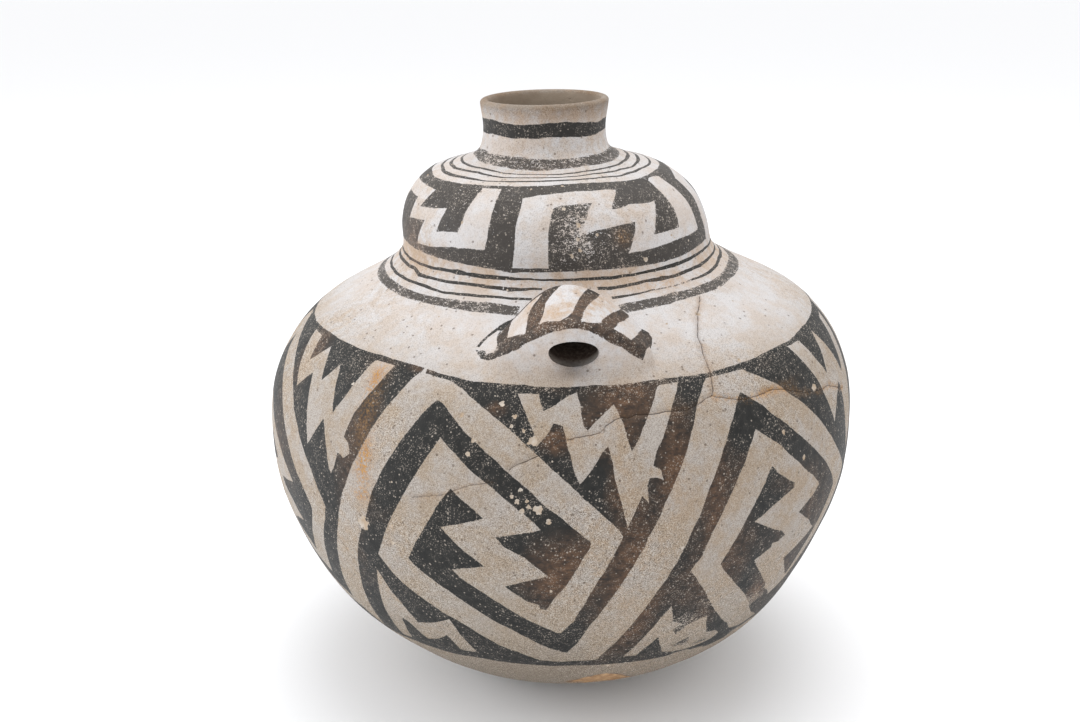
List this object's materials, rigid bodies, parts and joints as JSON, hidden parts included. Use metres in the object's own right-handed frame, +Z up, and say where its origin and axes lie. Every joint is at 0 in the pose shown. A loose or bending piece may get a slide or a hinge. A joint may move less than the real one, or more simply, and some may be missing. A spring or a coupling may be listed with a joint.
{
  "type": "pottery jar",
  "caption": "Black-on-white pottery jar with a globular belly, domed upper lobe, short neck and a strap lug with a cord hole on the shoulder.",
  "frame": {"origin": "middle of the flat spot the jar stands on, under the belly's axis", "axes": "+Z up through the neck, -Y towards the strap lug, +X to the right as seen from the lug's side"},
  "size_m": [0.3454, 0.3454, 0.3471],
  "materials": {
    "painted_clay": "unglazed fired clay with a worn pale slip and black mineral paint, matt"
  },
  "bodies": {
    "root": {"jar": "painted_clay"}
  },
  "joints": []
}
